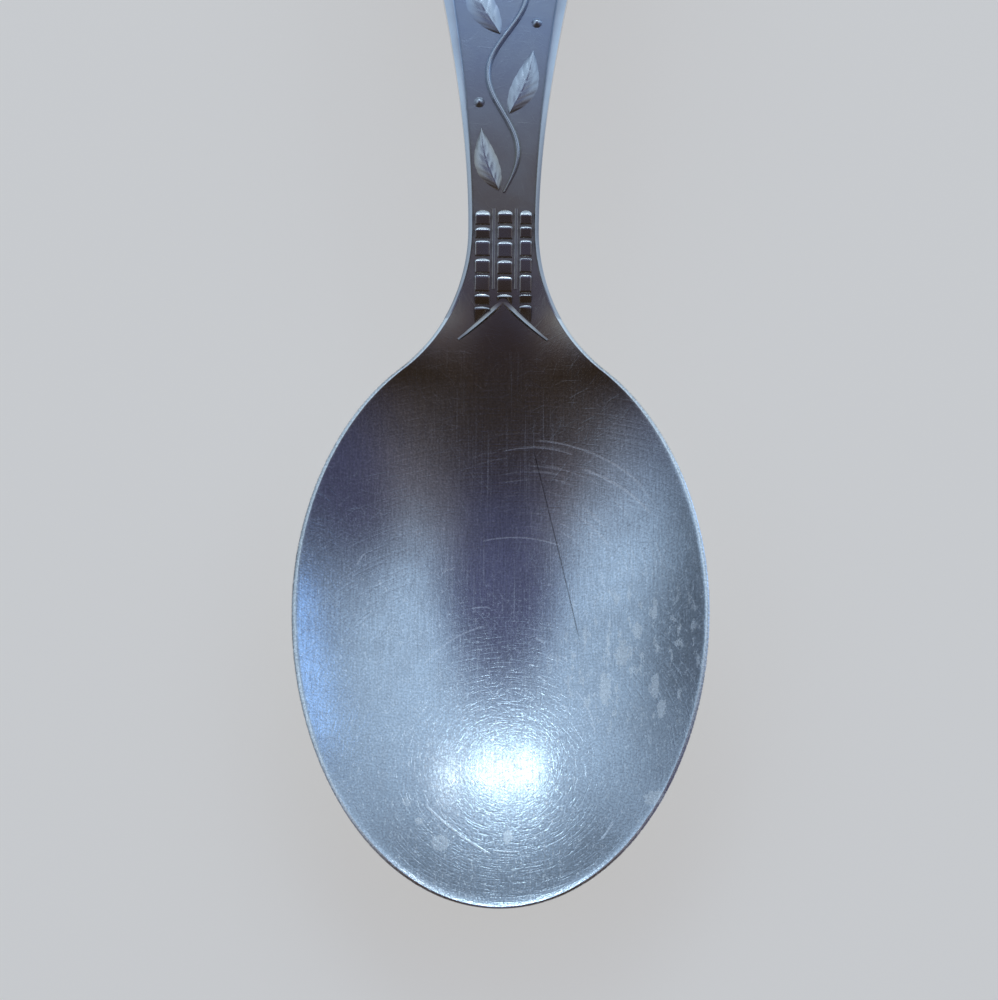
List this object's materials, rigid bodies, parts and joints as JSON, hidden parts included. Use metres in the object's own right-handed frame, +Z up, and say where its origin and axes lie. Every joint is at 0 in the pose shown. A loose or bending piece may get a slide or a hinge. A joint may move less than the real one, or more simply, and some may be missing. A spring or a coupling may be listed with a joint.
{
  "type": "baby spoon",
  "caption": "Small silver-toned baby spoon with an oval bowl, a slim neck with stacked blocks and a chevron, and an arched handle with a raised border and vine relief.",
  "frame": {"origin": "on the table under the middle of the length, on the spoon's middle line", "axes": "+Y along the length from the bowl's tip to the end of the handle, +Z up out of the bowl, +X to the right seen from the tip"},
  "size_m": [0.0274, 0.108, 0.0123],
  "materials": {
    "bowl_metal": "worn polish with fine scratches",
    "handle_metal": "satin with dull recesses",
    "border_metal": "worn bright edge",
    "relief_metal": "struck relief, bright on its crests"
  },
  "bodies": {
    "root": {"bowl": "bowl_metal", "neck": "handle_metal", "handle": "handle_metal", "edge_border": "border_metal", "blocks_left": "relief_metal", "blocks_middle": "relief_metal", "blocks_right": "relief_metal", "neck_ribs": "relief_metal", "neck_chevron": "relief_metal", "vine_stem": "relief_metal", "vine_leaves": "relief_metal", "vine_berries": "relief_metal", "blossom_petals": "relief_metal", "blossom_centre": "relief_metal"}
  },
  "joints": []
}
